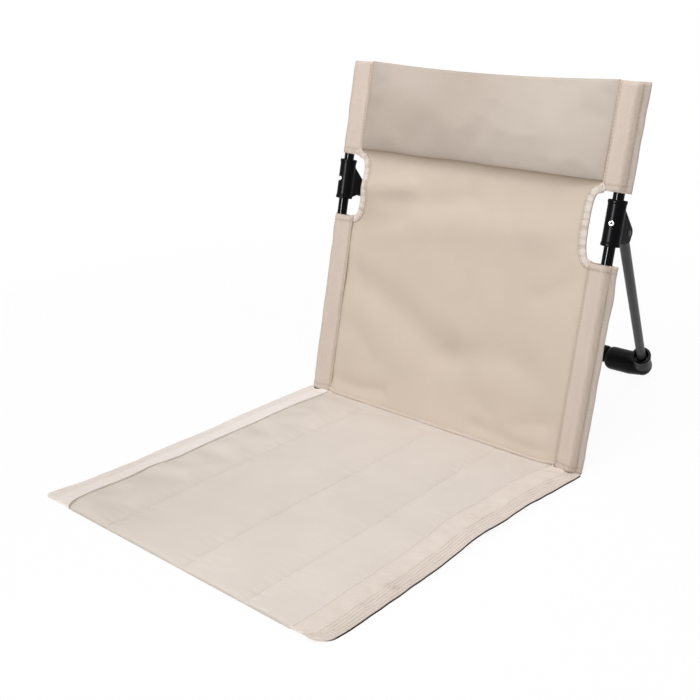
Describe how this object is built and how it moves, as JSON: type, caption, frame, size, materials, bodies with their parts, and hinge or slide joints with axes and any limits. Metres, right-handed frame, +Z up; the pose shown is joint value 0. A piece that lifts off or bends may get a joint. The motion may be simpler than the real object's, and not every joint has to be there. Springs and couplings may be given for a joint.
{
  "type": "folding camping chair",
  "caption": "Legless folding camping chair: padded seat cloth on the ground, cloth back with a padded headrest on leaning uprights, and a hinged rear stand that folds flat.",
  "frame": {"origin": "middle of the chair's floor plan, on the ground", "axes": "+Z up, the chair faces -Y, +X is to the right as seen from the front"},
  "size_m": [0.427, 0.7806, 0.4359],
  "materials": {
    "panel_cloth": "matt plain weave, beige",
    "edge_cloth": "matt fine twill, pale beige",
    "base_cloth": "matt coated cloth, dark",
    "foam": "soft white foam",
    "black_tube": "gloss black coating",
    "grey_tube": "satin dark grey coating",
    "black_plastic": "moulded, satin",
    "bright_steel": "plain rivet, bright",
    "dark_steel": "blackened"
  },
  "bodies": {
    "backrest": {"back_panel": "panel_cloth", "headrest_cover": "panel_cloth", "headrest_foam": "foam", "fold_seam": "panel_cloth", "upright_left": "black_tube", "upright_right": "black_tube", "upright_foot_cap_left": "black_plastic", "upright_foot_cap_right": "black_plastic", "upright_top_cap_left": "black_plastic", "upright_top_cap_right": "black_plastic", "hinge_sleeve_left": "black_plastic", "hinge_sleeve_right": "black_plastic", "hinge_pin_left": "dark_steel", "hinge_pin_right": "dark_steel", "sleeve_rivet_left": "bright_steel", "sleeve_rivet_right": "bright_steel", "upper_pocket_left": "edge_cloth", "upper_pocket_right": "edge_cloth", "lower_pocket_left": "edge_cloth", "lower_pocket_right": "edge_cloth", "scallop_binding_left": "edge_cloth", "scallop_binding_right": "edge_cloth"},
    "seat": {"seat_cover": "panel_cloth", "seat_foam_1": "foam", "seat_foam_2": "foam", "seat_foam_3": "foam", "seat_foam_4": "foam", "seat_base": "base_cloth", "seat_strip_left": "edge_cloth", "seat_strip_right": "edge_cloth"},
    "stand": {"leg_knuckle_left": "black_plastic", "leg_knuckle_right": "black_plastic", "leg_left": "grey_tube", "leg_right": "grey_tube", "foot_left": "black_plastic", "foot_right": "black_plastic", "crossbar": "black_tube", "crossbar_collar_left": "black_plastic", "crossbar_collar_right": "black_plastic"}
  },
  "joints": [
    {"name": "seat_fold", "type": "hinge", "parent": "backrest", "child": "seat", "pos_m": [0, 0.03568, 0.0066], "axis": [-1, 0, 0], "range_deg": [0, 95]},
    {"name": "stand_fold", "type": "hinge", "parent": "backrest", "child": "stand", "pos_m": [0, 0.12504, 0.26955], "axis": [-1, 0, 0], "range_deg": [0, 55]}
  ]
}
